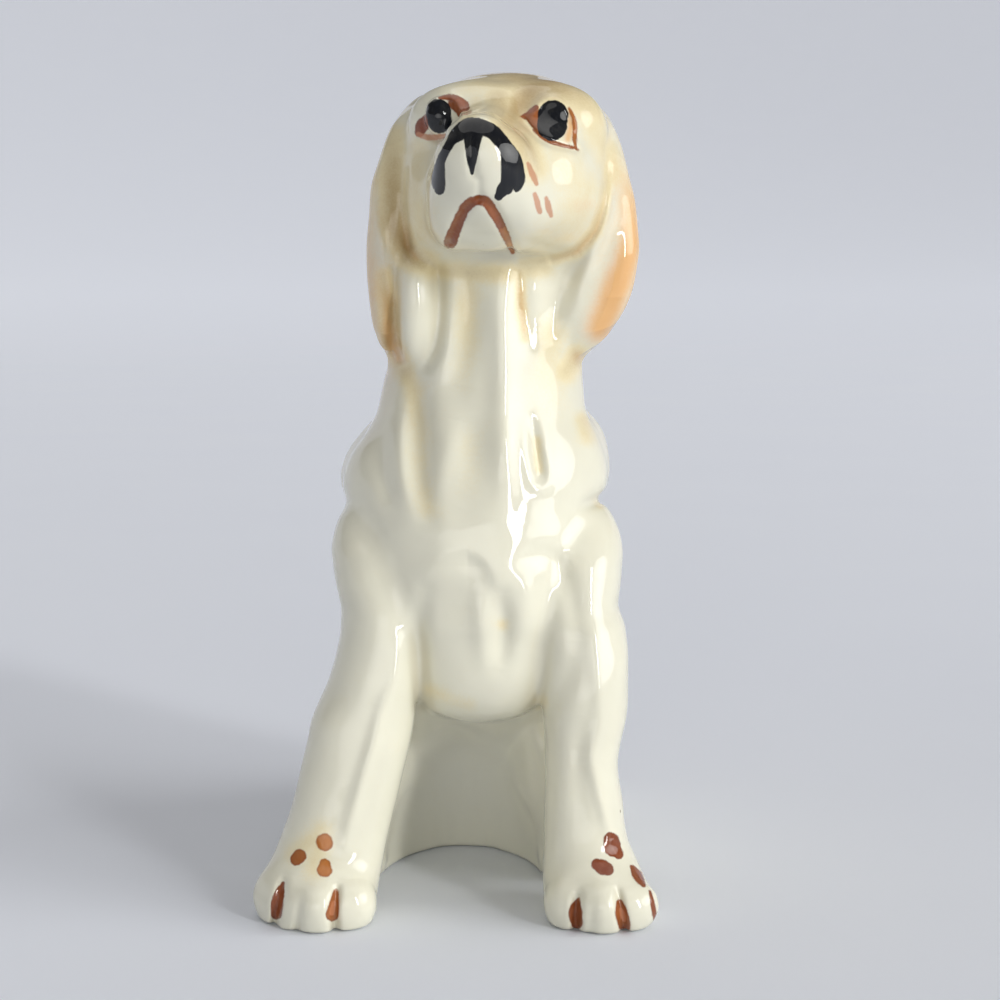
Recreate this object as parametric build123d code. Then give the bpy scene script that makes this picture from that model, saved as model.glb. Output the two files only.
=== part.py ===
"""Seated dog ornament in glazed, slip-cast earthenware.

The figure is built the way a potter sticks one up. The trunk and the head are cast
thick, so that only a narrow core stays open in them where the slip was poured off;
the ears, forelegs, hind feet and tail are solid castings. Every casting meets its neighbour face to face, and in each joint a thin bed of slip sits
in a shallow scored recess inside the rim, so that no slip shows on the outside.

Working axes while modelling: the dog faces -Y, its own left side is +X, +Z is up
and z = 0 is the surface it sits on. At the end every piece is moved so that the
origin is the centre of the footprint of the whole figure.
"""
from build123d import *
import os

# ---------------------------------------------------------------- driving sizes, mm
CORE_R = 3.4          # core left open in the trunk and the head
SLIP = 0.4            # thickness of the bed of slip in each joint
NECK_SEAM = 49.0      # height of the joint between trunk and head
LEG_SEAM = 15.5       # height of the joint at the top of each foreleg
FOOT_SEAM = -1.0      # y of the joint behind each hind foot
TAIL_SEAM = 22.5      # y of the joint at the root of the tail
VENT_R = 1.5          # firing vent from the underside to the core
VENT_AT = (0.5, 14.0)

# trunk: height, centre x, centre y, half width, half depth
TRUNK = [
    (0.0, 0.6, 14.0, 11.5, 10.5),
    (4.0, 0.6, 13.2, 13.0, 12.0),
    (10.0, 0.9, 11.0, 13.5, 13.2),
    (17.0, 1.3, 7.0, 13.2, 14.0),
    (24.0, 1.7, 2.5, 13.0, 15.5),
    (31.0, 1.8, -0.3, 13.4, 15.2),
    (38.0, 1.6, -1.0, 12.7, 13.0),
    (44.0, 2.0, -1.2, 10.2, 10.8),
    (NECK_SEAM, 2.3, -1.0, 9.3, 9.3),
]
TRUNK_CORE = [
    (6.0, 0.6, 13.2, CORE_R - 0.8, CORE_R - 0.8),
    (10.0, 0.9, 11.5, CORE_R, CORE_R),
    (17.0, 1.3, 8.0, CORE_R, CORE_R),
    (24.0, 1.7, 4.5, CORE_R, CORE_R),
    (31.0, 1.8, 1.5, CORE_R, CORE_R),
    (38.0, 1.8, -0.2, CORE_R, CORE_R),
    (44.0, 2.0, -0.9, CORE_R, CORE_R),
    (NECK_SEAM, 2.3, -1.0, CORE_R, CORE_R),
]
# hind quarters, one ellipsoid a side: centre x, y, z, half spacing, radii
HAUNCH_AT = (0.5, 6.5, 9.0)
HAUNCH_OFF = 9.8
HAUNCH_R = (5.3, 11.0, 12.0)
# hind feet: half spacing, y, height of the middle, radii
FOOT_OFF = 9.6
FOOT_Y = -2.5
FOOT_Z = 0.6
FOOT_R = (4.4, 5.2, 5.4)
# forelegs from the sole of the paw up to the joint: z, x, y, half width, half depth
LEFT_LEG = [
    (0.0, 12.8, -16.6, 4.7, 5.7),
    (2.0, 13.0, -16.8, 5.15, 6.1),
    (5.0, 12.2, -15.9, 4.4, 5.0),
    (8.0, 11.7, -14.7, 3.9, 4.3),
    (12.0, 11.7, -14.0, 3.6, 4.1),
    (LEG_SEAM, 11.9, -13.5, 3.7, 4.1),
]
RIGHT_LEG = [
    (0.0, -12.3, -16.6, 5.1, 5.9),
    (2.0, -12.7, -16.8, 5.6, 6.3),
    (5.0, -11.7, -15.8, 5.0, 5.2),
    (8.0, -10.5, -14.6, 4.6, 4.4),
    (12.0, -9.5, -14.0, 4.5, 4.3),
    (LEG_SEAM, -8.8, -13.5, 4.4, 4.3),
]
# upper forelegs and shoulders on the trunk casting, which the forelegs are stuck to
LEFT_STUMP = [
    (LEG_SEAM, 11.9, -13.5, 3.7, 4.1),
    (21.0, 12.0, -12.0, 4.0, 4.6),
    (27.0, 11.2, -10.0, 4.4, 5.3),
    (35.0, 9.6, -6.5, 4.6, 6.0),
    (41.0, 7.2, -3.8, 3.6, 4.6),
]
RIGHT_STUMP = [
    (LEG_SEAM, -8.8, -13.5, 4.4, 4.3),
    (21.0, -7.7, -12.0, 4.5, 4.7),
    (27.0, -7.2, -10.0, 4.7, 5.3),
    (35.0, -6.0, -6.5, 4.8, 6.0),
    (41.0, -3.4, -3.8, 3.6, 4.6),
]
# head
HEAD_X = 4.3
SKULL_AT = (HEAD_X, -2.0, 66.0)
SKULL_R = (9.9, 11.0, 10.4)
NECK = [
    (NECK_SEAM, 2.3, -1.0, 9.3, 9.3),
    (53.0, 3.2, -1.6, 8.8, 9.0),
    (61.0, 4.0, -2.4, 8.6, 9.0),
]
HEAD_CORE = [
    (NECK_SEAM, 2.3, -1.0, CORE_R, CORE_R),
    (55.0, 3.2, -1.6, CORE_R, CORE_R),
    (62.0, 4.0, -2.2, CORE_R, CORE_R),
    (67.0, 4.2, -2.4, CORE_R - 0.8, CORE_R - 0.8),
]
# muzzle sections square to Y: y, centre x, centre z, half width, half height
MUZZLE = [
    (-4.0, 4.1, 65.6, 8.8, 8.2),
    (-10.0, 3.7, 65.5, 8.1, 7.3),
    (-16.0, 2.9, 65.3, 6.9, 6.2),
    (-19.0, 2.5, 65.8, 5.7, 5.4),
    (-21.0, 2.2, 66.2, 4.5, 4.4),
]
NOSE_AT = (2.2, -20.2, 66.2)
NOSE_R = (4.8, 3.0, 4.7)
# ears: flat inner face square to X, distance of that face from the head's middle
EAR_FACE = 8.7
EAR_THICK = 4.0
EAR_AT = (-2.0, 61.0)     # y, z of the flap's middle
EAR_HALF = (7.0, 11.0)    # half depth, half height
EAR_LOW = 49.5            # the head's flats for the ears end here
# tail, lying on the ground and turned round to the dog's left: x, y, z, radius
TAIL = [
    (0.8, TAIL_SEAM, 4.0, 3.7),
    (3.4, 26.3, 3.8, 3.5),
    (7.2, 27.6, 3.5, 3.2),
    (11.4, 26.2, 3.0, 2.7),
    (14.2, 23.0, 2.4, 2.1),
    (15.2, 20.9, 2.0, 1.2),
]
# beds of slip: share of the joint face, or half sizes
LEG_BED = 0.72
FOOT_BED = (2.6, 1.8, 2.7)     # half width, half height, height of the middle
EAR_BED = (3.6, 3.4, -2.0, 66.0)  # half depth, half height, y and z of the middle
TAIL_BED_R = 2.4
NECK_BED = (5.0, 8.2)          # inner and outer radius


def ellipsoid(at, r):
    return Pos(*at) * scale(Sphere(1.0), by=r)


def stack(rows):
    """Loft through level ellipses."""
    return loft([Plane.XY.offset(z) * Pos(x, y) * Ellipse(a, b) for z, x, y, a, b in rows])


def block(x0, x1, y0, y1, z0, z1):
    return Pos((x0 + x1) / 2, (y0 + y1) / 2, (z0 + z1) / 2) * Box(x1 - x0, y1 - y0, z1 - z0)


def disc(x, y, a, b, z0, z1):
    """Level elliptical disc."""
    return extrude(Plane.XY.offset(z0) * Pos(x, y) * Ellipse(a, b), z1 - z0)


def only(shape):
    """The largest solid of a shape."""
    return max(shape.solids(), key=lambda s: s.volume)


above_ground = block(-60, 60, -60, 60, 0, 120)

# ---------------------------------------------------------------- trunk casting
trunk = stack(TRUNK)
for side in (-1, 1):
    trunk += ellipsoid((HAUNCH_AT[0] + side * HAUNCH_OFF, HAUNCH_AT[1], HAUNCH_AT[2]), HAUNCH_R)
trunk += stack(LEFT_STUMP)
trunk += stack(RIGHT_STUMP)
trunk &= above_ground
# flat seats for the hind feet and the tail
for side in (-1, 1):
    x = HAUNCH_AT[0] + side * FOOT_OFF
    trunk -= block(x - 7, x + 7, -12, FOOT_SEAM, -1, 6.2)
trunk -= block(-12, 13, TAIL_SEAM, 40, -1, 8.4)
# core, open at the neck, with the firing vent in the seat
trunk -= stack(TRUNK_CORE)
trunk -= Pos(VENT_AT[0], VENT_AT[1], 4.0) * Cylinder(VENT_R, 12.0)
# bed of slip in the rim of the neck
z, x, y, a, b = TRUNK[-1]
neck_slip = disc(x, y, NECK_BED[1], NECK_BED[1], z - SLIP, z) - disc(x, y, NECK_BED[0], NECK_BED[0], z - SLIP, z)
trunk = only(trunk - neck_slip)
neck_slip = only(neck_slip)

# ---------------------------------------------------------------- forelegs
legs, leg_slips = {}, {}
for name, rows in (("left", LEFT_LEG), ("right", RIGHT_LEG)):
    z, x, y, a, b = rows[-1]
    bed = disc(x, y, a * LEG_BED, b * LEG_BED, z - SLIP, z)
    legs[name] = only(stack(rows) - bed)
    leg_slips[name] = only(bed)

# ---------------------------------------------------------------- hind feet
feet, foot_slips = {}, {}
for name, side in (("left", 1), ("right", -1)):
    x = HAUNCH_AT[0] + side * FOOT_OFF
    foot = ellipsoid((x, FOOT_Y, FOOT_Z), FOOT_R) & block(-60, 60, -60, FOOT_SEAM, 0, 60)
    bed = extrude(
        Plane(origin=(x, FOOT_SEAM, FOOT_BED[2]), x_dir=(1, 0, 0), z_dir=(0, -1, 0)) * Ellipse(FOOT_BED[0], FOOT_BED[1]), SLIP
    )
    feet[name] = only(foot - bed)
    foot_slips[name] = only(bed)

# ---------------------------------------------------------------- head casting and ears
head = stack(NECK)
head += ellipsoid(SKULL_AT, SKULL_R)
head += loft([Plane(origin=(x, y, z), x_dir=(1, 0, 0), z_dir=(0, -1, 0)) * Ellipse(a, b) for y, x, z, a, b in MUZZLE])
head += ellipsoid(NOSE_AT, NOSE_R)
ears, ear_slips = {}, {}
for name, side in (("left", 1), ("right", -1)):
    face = HEAD_X + side * EAR_FACE
    ring = Plane(origin=(face, *EAR_AT), x_dir=(0, 1, 0), z_dir=(side, 0, 0))
    y, z = EAR_HALF
    ear = loft([
        ring * Ellipse(y, z),
        ring.offset(EAR_THICK * 0.55) * Ellipse(y * 0.96, z * 0.97),
        ring.offset(EAR_THICK * 0.85) * Ellipse(y * 0.78, z * 0.85),
        ring.offset(EAR_THICK) * Ellipse(y * 0.5, z * 0.6),
    ])
    bed = extrude(
        Plane(origin=(face, EAR_BED[2], EAR_BED[3]), x_dir=(0, 1, 0), z_dir=(side, 0, 0)) * Ellipse(EAR_BED[0], EAR_BED[1]), SLIP
    )
    ears[name] = only(ear - bed)
    ear_slips[name] = only(bed)
    head -= block(*sorted((face, face + side * 30)), -60, 60, EAR_LOW, 90)
head -= stack(HEAD_CORE)
head = only(head)

# ---------------------------------------------------------------- tail
rings = []
for i, (x, y, z, r) in enumerate(TAIL):
    a, b = TAIL[max(i - 1, 0)], TAIL[min(i + 1, len(TAIL) - 1)]
    way = Vector(0, 1, 0) if i == 0 else Vector(b[0] - a[0], b[1] - a[1], b[2] - a[2])
    rings.append(Plane(origin=(x, y, z), z_dir=way) * Circle(r))
tail = loft(rings)
tail_slip = extrude(Plane(origin=TAIL[0][:3], z_dir=(0, 1, 0)) * Circle(TAIL_BED_R), SLIP)
tail = only(tail - tail_slip)
tail_slip = only(tail_slip)

nodes = {
    "trunk_casting": trunk,
    "head_casting": head,
    "left_ear": ears["left"],
    "right_ear": ears["right"],
    "left_foreleg": legs["left"],
    "right_foreleg": legs["right"],
    "left_hind_foot": feet["left"],
    "right_hind_foot": feet["right"],
    "tail": tail,
    "neck_slip_joint": neck_slip,
    "left_ear_slip_joint": ear_slips["left"],
    "right_ear_slip_joint": ear_slips["right"],
    "left_foreleg_slip_joint": leg_slips["left"],
    "right_foreleg_slip_joint": leg_slips["right"],
    "left_hind_foot_slip_joint": foot_slips["left"],
    "right_hind_foot_slip_joint": foot_slips["right"],
    "tail_slip_joint": tail_slip,
}

# origin to the middle of the footprint
boxes = [s.bounding_box() for s in nodes.values()]
x_mid = (min(b.min.X for b in boxes) + max(b.max.X for b in boxes)) / 2
y_mid = (min(b.min.Y for b in boxes) + max(b.max.Y for b in boxes)) / 2
print("origin moved by", round(-x_mid, 3), round(-y_mid, 3))
print("height", round(max(b.max.Z for b in boxes), 2), "lowest", round(min(b.min.Z for b in boxes), 4))

os.makedirs("parts", exist_ok=True)
for name, solid in nodes.items():
    export_step(Pos(-x_mid, -y_mid, 0) * solid, f"parts/{name}.step")
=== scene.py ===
"""Seated dog ornament: glazed, hand-painted earthenware figure.

The figure is sculpted as one smooth distance field in millimetres (the dog faces -Y, its own
left is +X, +Z is up, z = 0 is the ground), meshed once, and cut along the joints of the castings,
so the glaze runs over the joints without a step. Paint is a set of brush strokes and sprayed
patches laid out in front elevation, kept on the mesh as attributes.
"""
import math
import bpy
import numpy as np
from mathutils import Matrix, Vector


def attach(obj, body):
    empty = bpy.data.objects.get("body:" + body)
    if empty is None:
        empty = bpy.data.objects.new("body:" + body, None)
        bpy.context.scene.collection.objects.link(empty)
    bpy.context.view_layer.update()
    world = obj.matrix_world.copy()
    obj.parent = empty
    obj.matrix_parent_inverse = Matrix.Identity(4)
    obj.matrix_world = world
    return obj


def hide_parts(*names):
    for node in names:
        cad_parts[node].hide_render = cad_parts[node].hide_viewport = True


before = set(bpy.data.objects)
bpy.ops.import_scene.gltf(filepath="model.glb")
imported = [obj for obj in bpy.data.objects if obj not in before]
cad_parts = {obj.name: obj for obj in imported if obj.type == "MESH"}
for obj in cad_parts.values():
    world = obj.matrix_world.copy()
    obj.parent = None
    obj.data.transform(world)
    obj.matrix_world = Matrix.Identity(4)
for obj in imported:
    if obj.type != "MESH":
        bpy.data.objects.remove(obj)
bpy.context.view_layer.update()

f32 = np.float32
GRID, HEAD_GRID, PAW_GRID = 0.26, 0.17, 0.19   # mm between points of the sculpted surface
SHIFT = np.array([0.057, -3.809, 0.0])   # sculpting origin to the part's origin, mm
EYE = (3.95, -190.0, 58.0)               # viewing point, mm
TILT = math.radians(6.65)                # it looks down by this much
FOCAL = 1976.0                           # in thousandths of the picture's width
CT, ST = math.cos(TILT), math.sin(TILT)

# ------------------------------------------------------------------ distance field tools


def smin(a, b, k):
    h = np.clip(0.5 + 0.5 * (b - a) / k, 0, 1)
    return b + (a - b) * h - k * h * (1 - h)


def smax(a, b, k):
    return -smin(-a, -b, k)


def turn(rx=0.0, ry=0.0, rz=0.0):
    """Rotation matrix from angles in degrees."""
    rx, ry, rz = (math.radians(v) for v in (rx, ry, rz))
    X = np.array([[1, 0, 0], [0, math.cos(rx), -math.sin(rx)], [0, math.sin(rx), math.cos(rx)]])
    Y = np.array([[math.cos(ry), 0, math.sin(ry)], [0, 1, 0], [-math.sin(ry), 0, math.cos(ry)]])
    Z = np.array([[math.cos(rz), -math.sin(rz), 0], [math.sin(rz), math.cos(rz), 0], [0, 0, 1]])
    return Z @ Y @ X


def ell(p, c, r, rot=None):
    """Ellipsoid; rot turns it about its own middle."""
    q = p - np.asarray(c, f32)
    if rot is not None:
        q = q @ np.asarray(rot, f32)
    r = np.asarray(r, f32)
    a = q / r
    b = a / r
    k0 = np.sqrt((a * a).sum(1)) + 1e-6
    k1 = np.sqrt((b * b).sum(1)) + 1e-6
    return k0 * (k0 - 1) / k1


def cone(p, a, b, ra, rb):
    """Rod with round ends from a to b, radius ra to rb."""
    a, b = np.asarray(a, f32), np.asarray(b, f32)
    ba = b - a
    q = p - a
    h = np.clip(q @ ba / float(ba @ ba), 0, 1)
    w = q - h[:, None] * ba
    return np.sqrt((w * w).sum(1)) - (ra + (rb - ra) * h)


def rods(p, pts, k=1.0):
    """Chain of rods through (x, y, z, r)."""
    d = None
    for a, b in zip(pts[:-1], pts[1:]):
        e = cone(p, a[:3], b[:3], a[3], b[3])
        d = e if d is None else smin(d, e, k) if k else np.minimum(d, e)
    return d


def table(rows, smooth):
    """Rows (z, values...) made into a dense, smoothed table."""
    rows = np.array(sorted(rows), float)
    step = 0.1
    zs = np.arange(rows[0, 0] - 4, rows[-1, 0] + 4, step)
    cols = np.stack([np.interp(zs, rows[:, 0], rows[:, i]) for i in range(1, rows.shape[1])], 1)
    half = int(3 * smooth / step)
    ker = np.exp(-0.5 * (np.arange(-half, half + 1) * step / smooth) ** 2)
    ker /= ker.sum()
    pad = np.pad(cols, ((half, half), (0, 0)), mode="edge")
    cols = np.stack([np.convolve(pad[:, i], ker, "valid") for i in range(cols.shape[1])], 1)
    return zs, cols


def loft(p, tab, n=2.0):
    """Stack of level rounded sections; the table holds centre x, centre y, half width, half depth."""
    x, y, z = p[:, 0], p[:, 1], p[:, 2]
    zs, cols = tab

    def at(zz):
        i = np.clip((zz - zs[0]) / (zs[1] - zs[0]), 0, len(zs) - 1.001)
        j = i.astype(np.int32)
        t = (i - j).astype(f32)[:, None]
        c = (cols[j] * (1 - t) + cols[j + 1] * t).astype(f32)
        qx = np.abs(x - c[:, 0]) / c[:, 2]
        qy = np.abs(y - c[:, 1]) / c[:, 3]
        r = (qx ** n + qy ** n) ** (1 / n) + 1e-5
        return r, qx, qy, c

    r, qx, qy, c = at(z)
    up = at(z + 0.3)[0]
    down = at(z - 0.3)[0]
    gx = (qx / r) ** (n - 1) / c[:, 2]
    gy = (qy / r) ** (n - 1) / c[:, 3]
    gz = (up - down) / 0.6
    return (r - 1) / np.sqrt(gx * gx + gy * gy + gz * gz + 1e-6)


def edges(rows):
    """(z, left x, right x, front y, back y) to (z, cx, cy, half width, half depth)."""
    return [(z, (a + b) / 2, (c + d) / 2, (b - a) / 2, (d - c) / 2) for z, a, b, c, d in rows]


def elevation(p):
    """Front elevation from the viewing point, in thousandths of the picture, right and down."""
    dx, dy, dz = p[:, 0] - EYE[0], p[:, 1] - EYE[1], p[:, 2] - EYE[2]
    zc = dy * CT - dz * ST
    yc = dy * ST + dz * CT
    return 500 + FOCAL * dx / zc, 500 - FOCAL * yc / zc


def curve(pts, n=4):
    """The same points with a smooth curve drawn through them."""
    if len(pts) < 3:
        return pts
    q = np.array([pts[0], *pts, pts[-1]], float)
    out = []
    for i in range(1, len(q) - 2):
        a, b, c, d = q[i - 1:i + 3]
        for t in np.arange(n) / n:
            out.append(0.5 * (2 * b + (c - a) * t + (2 * a - 5 * b + 4 * c - d) * t * t + (3 * b - a - 3 * c + d) * t ** 3))
    out.append(q[-1])
    return [tuple(float(x) for x in r) for r in out]


def line_gap(u, v, pts):
    """Distance to a polyline of (u, v, value) and the value at its nearest point."""
    best = val = None
    if len(pts) == 1:
        pts = [pts[0], (pts[0][0] + 0.01, pts[0][1], pts[0][2])]
    for (u0, v0, a0), (u1, v1, a1) in zip(pts[:-1], pts[1:]):
        du, dv = u1 - u0, v1 - v0
        t = np.clip(((u - u0) * du + (v - v0) * dv) / (du * du + dv * dv), 0, 1)
        g = (u - u0 - t * du) ** 2 + (v - v0 - t * dv) ** 2
        a = a0 + (a1 - a0) * t
        if best is None:
            best, val = g, a
        else:
            m = g < best
            best = np.where(m, g, best)
            val = np.where(m, a, val)
    return np.sqrt(best), val


# ------------------------------------------------------------------ the sculpt
TORSO = table(edges([
    # z, left, right, front, back
    (66.0, -2.5, 11.5, -7.5, 6.5),
    (58.0, -4.2, 12.0, -9.6, 8.2),
    (53.0, -5.6, 11.9, -10.2, 8.7),
    (50.0, -6.55, 11.85, -10.6, 8.9),
    (47.4, -7.1, 11.85, -11.2, 9.2),
    (44.5, -7.8, 12.05, -12.3, 9.8),
    (42.5, -8.9, 13.3, -13.1, 10.4),
    (40.5, -10.3, 14.15, -13.8, 11.0),
    (38.6, -11.1, 14.3, -14.5, 11.6),
    (36.8, -11.1, 13.95, -15.2, 12.2),
    (35.4, -10.8, 13.6, -15.7, 12.8),
    (31.0, -10.5, 13.4, -16.7, 14.4),
    (26.0, -10.4, 13.4, -16.6, 16.6),
    (22.0, -10.3, 13.3, -15.2, 18.5),
    (19.5, -10.3, 13.2, -13.2, 19.6),
    (18.0, -10.3, 13.2, -11.4, 20.2),
    (16.5, -10.4, 13.1, -9.0, 20.9),
    (15.0, -10.6, 13.0, -6.8, 21.4),
    (12.5, -10.9, 12.9, -4.0, 22.4),
    (7.0, -11.6, 12.6, -0.4, 23.8),
    (3.0, -11.6, 12.4, 2.0, 24.2),
    (0.0, -11.2, 12.2, 3.4, 24.0),
]), 0.6)
RIGHT_LEG = table([
    # z, x, y, half width, half depth
    (36.5, -6.3, -4.4, 4.2, 5.4),
    (34.5, -6.7, -5.2, 4.7, 6.2),
    (32.3, -6.95, -6.4, 4.9, 6.9),
    (29.9, -6.8, -7.5, 4.7, 6.9),
    (27.1, -6.45, -8.8, 4.2, 6.6),
    (24.7, -6.6, -9.9, 4.2, 6.2),
    (22.5, -6.95, -10.8, 4.2, 5.7),
    (20.8, -7.35, -11.5, 4.3, 5.3),
    (19.2, -7.95, -12.0, 4.5, 5.0),
    (17.3, -8.6, -12.6, 4.75, 4.8),
    (15.5, -8.85, -13.1, 4.7, 4.65),
    (12.0, -9.7, -13.8, 4.7, 4.5),
    (8.0, -10.75, -14.5, 4.8, 4.4),
    (5.8, -11.4, -15.1, 4.9, 4.6),
    (4.2, -12.0, -15.6, 5.15, 4.9),
    (2.5, -12.4, -16.2, 5.3, 5.3),
    (0.0, -12.4, -16.3, 5.2, 5.3),
], 0.5)
LEFT_LEG = table([
    (37.0, 9.3, -3.8, 3.5, 5.0),
    (35.4, 10.2, -4.6, 4.2, 5.8),
    (33.6, 10.75, -5.4, 4.5, 6.4),
    (31.8, 10.95, -6.4, 4.6, 6.9),
    (29.3, 10.85, -7.6, 4.4, 6.8),
    (27.1, 10.7, -8.7, 4.05, 6.5),
    (25.6, 11.15, -9.5, 4.3, 6.3),
    (23.3, 11.45, -10.5, 4.35, 5.8),
    (18.8, 11.7, -12.1, 4.0, 5.0),
    (17.3, 11.65, -12.6, 3.8, 4.7),
    (15.5, 11.5, -13.1, 3.5, 4.4),
    (13.7, 11.4, -13.5, 3.35, 4.3),
    (11.9, 11.45, -13.8, 3.35, 4.25),
    (10.1, 11.55, -14.1, 3.5, 4.2),
    (8.3, 11.6, -14.4, 3.6, 4.2),
    (6.7, 11.7, -14.8, 3.8, 4.35),
    (5.0, 12.0, -15.3, 4.15, 4.7),
    (3.7, 12.35, -15.8, 4.5, 5.1),
    (2.1, 12.75, -16.4, 4.75, 5.4),
    (0.0, 12.8, -16.5, 4.7, 5.4),
], 0.5)
# toes of the forepaws: tip and radius, outer to inner and inner to outer
RIGHT_TOES = [((-16.12, -17.1, 2.0), 2.05), ((-14.3, -19.1, 2.0), 2.15), ((-12.0, -20.78, 2.1), 2.25), ((-9.25, -19.9, 2.1), 2.2)]
LEFT_TOES = [((10.05, -19.6, 2.1), 2.1), ((12.95, -20.82, 2.2), 2.3), ((15.8, -20.1, 2.0), 2.2)]
# ears: middle x and half thickness by height, and the outline in side elevation (y, z)
RIGHT_EAR = table([(75, -2.6, 1.6), (72.5, -3.7, 1.8), (70, -4.8, 2.0), (66, -5.8, 2.1), (61, -6.25, 2.15), (57, -6.2, 2.15), (53, -5.9, 2.0), (49, -5.2, 1.7)], 0.8)
RIGHT_EAR_EDGE = [(-1.0, 74.2), (-4.4, 72.6), (-6.6, 69.5), (-7.8, 65.0), (-8.5, 60.0), (-8.8, 55.5), (-8.0, 51.8), (-6.0, 49.6),
                  (-3.6, 49.2), (-0.6, 51.0), (2.4, 55.5), (4.4, 61.0), (5.0, 66.5), (3.8, 71.0), (1.6, 73.6)]
LEFT_EAR = table([(74, 11.2, 1.6), (71.5, 12.4, 1.8), (69, 13.3, 2.0), (65, 14.3, 2.1), (60, 14.75, 2.15), (56.5, 14.35, 2.1), (53.8, 13.3, 2.0), (50, 11.4, 1.7)], 0.8)
LEFT_EAR_EDGE = [(-1.0, 73.2), (-4.2, 71.6), (-6.4, 68.5), (-7.4, 64.0), (-8.0, 59.5), (-8.2, 55.5), (-7.4, 52.4), (-5.6, 50.6),
                 (-3.4, 50.2), (-0.6, 51.8), (2.4, 56.0), (4.4, 61.0), (5.0, 66.0), (3.8, 70.2), (1.6, 72.6)]

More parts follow.
